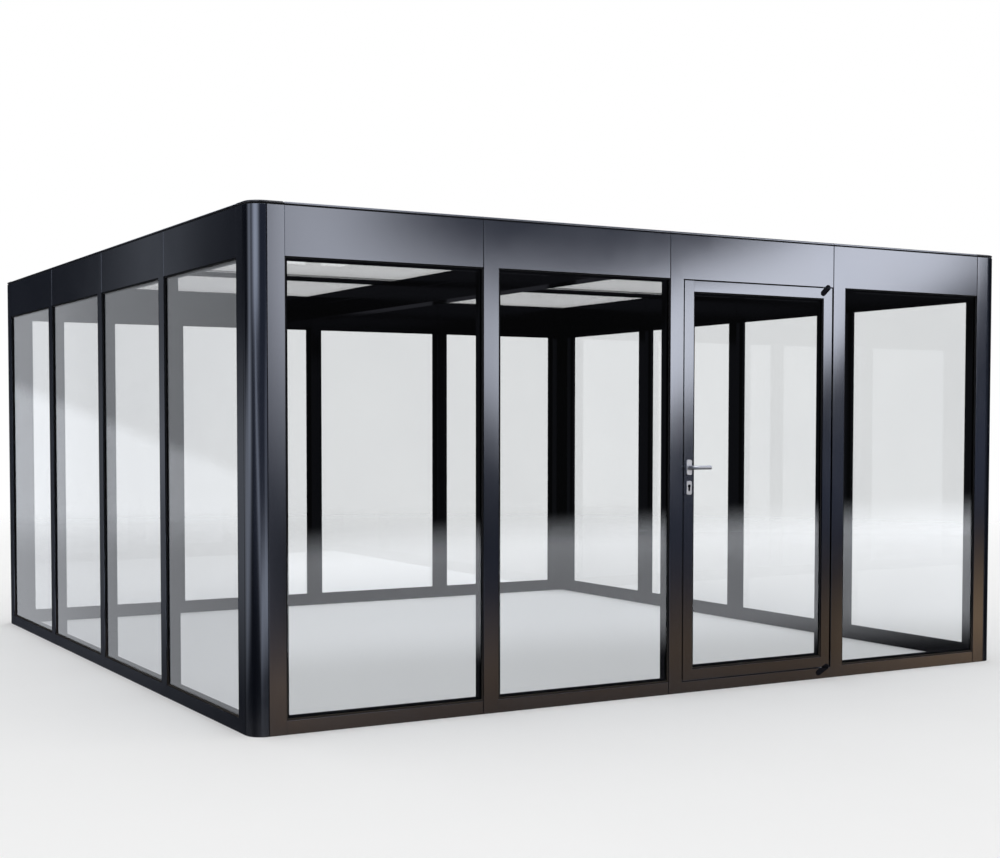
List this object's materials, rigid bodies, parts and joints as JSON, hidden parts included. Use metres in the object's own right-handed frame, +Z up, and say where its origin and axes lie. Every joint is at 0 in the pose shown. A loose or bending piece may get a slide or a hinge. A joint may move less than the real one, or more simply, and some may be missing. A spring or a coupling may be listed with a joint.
{
  "type": "glass greenhouse",
  "caption": "Square glass greenhouse in dark aluminium with rounded corners, a flat glass roof and a glazed pivot door with a lever handle.",
  "frame": {"origin": "on the ground, at the centre of the whole footprint with the outside lever handle counted in", "axes": "+X to the right along the door front, +Y from the front to the rear, +Z up"},
  "size_m": [4.5, 4.5643, 2.303],
  "materials": {
    "anthracite_aluminium": "satin powder coat",
    "clear_glass": "clear toughened glass",
    "black_rubber": "matt",
    "black_plastic": "matt",
    "satin_steel": "satin",
    "steel": "turned"
  },
  "bodies": {
    "frame": {"corner_caps": "black_plastic", "door_sill": "anthracite_aluminium", "door_stop_strips": "anthracite_aluminium", "frame_pivot_covers": "black_plastic", "front_bottom_rails": "anthracite_aluminium", "front_glass": "clear_glass", "front_headers": "anthracite_aluminium", "front_left_corner_column": "anthracite_aluminium", "front_posts": "anthracite_aluminium", "front_right_corner_column": "anthracite_aluminium", "glazing_beads": "anthracite_aluminium", "glazing_gaskets": "black_rubber", "left_bottom_rails": "anthracite_aluminium", "left_glass": "clear_glass", "left_headers": "anthracite_aluminium", "left_posts": "anthracite_aluminium", "pivot_pins": "steel", "rear_bottom_rails": "anthracite_aluminium", "rear_glass": "clear_glass", "rear_headers": "anthracite_aluminium", "rear_left_corner_column": "anthracite_aluminium", "rear_posts": "anthracite_aluminium", "rear_right_corner_column": "anthracite_aluminium", "right_bottom_rails": "anthracite_aluminium", "right_glass": "clear_glass", "right_headers": "anthracite_aluminium", "right_posts": "anthracite_aluminium", "roof_cover_strips": "anthracite_aluminium", "roof_cross_bars": "anthracite_aluminium", "roof_edge_trims": "anthracite_aluminium", "roof_glass": "clear_glass", "roof_main_beam": "anthracite_aluminium", "roof_seals": "black_rubber"},
    "door": {"door_stiles": "anthracite_aluminium", "door_rails": "anthracite_aluminium", "door_glass": "clear_glass", "door_gasket": "black_rubber", "door_bead": "anthracite_aluminium", "leaf_pivot_covers": "black_plastic", "door_rosettes": "satin_steel", "door_keyhole_plates": "satin_steel", "door_lock_cylinder": "black_plastic"},
    "lever": {"outer_lever": "satin_steel", "inner_lever": "satin_steel", "lever_spindle": "steel"}
  },
  "joints": [
    {"name": "door_swing", "type": "hinge", "parent": "frame", "child": "door", "pos_m": [0.968, -2.19385, 0], "axis": [0, 0, 1], "range_deg": [0, 95]},
    {"name": "lever_turn", "type": "hinge", "parent": "door", "child": "lever", "pos_m": [0.0745, -2.19385, 1.132], "axis": [0, 1, 0], "range_deg": [0, 40], "stiffness_Nm_per_rad": 1.2, "springref_deg": -14.32}
  ]
}
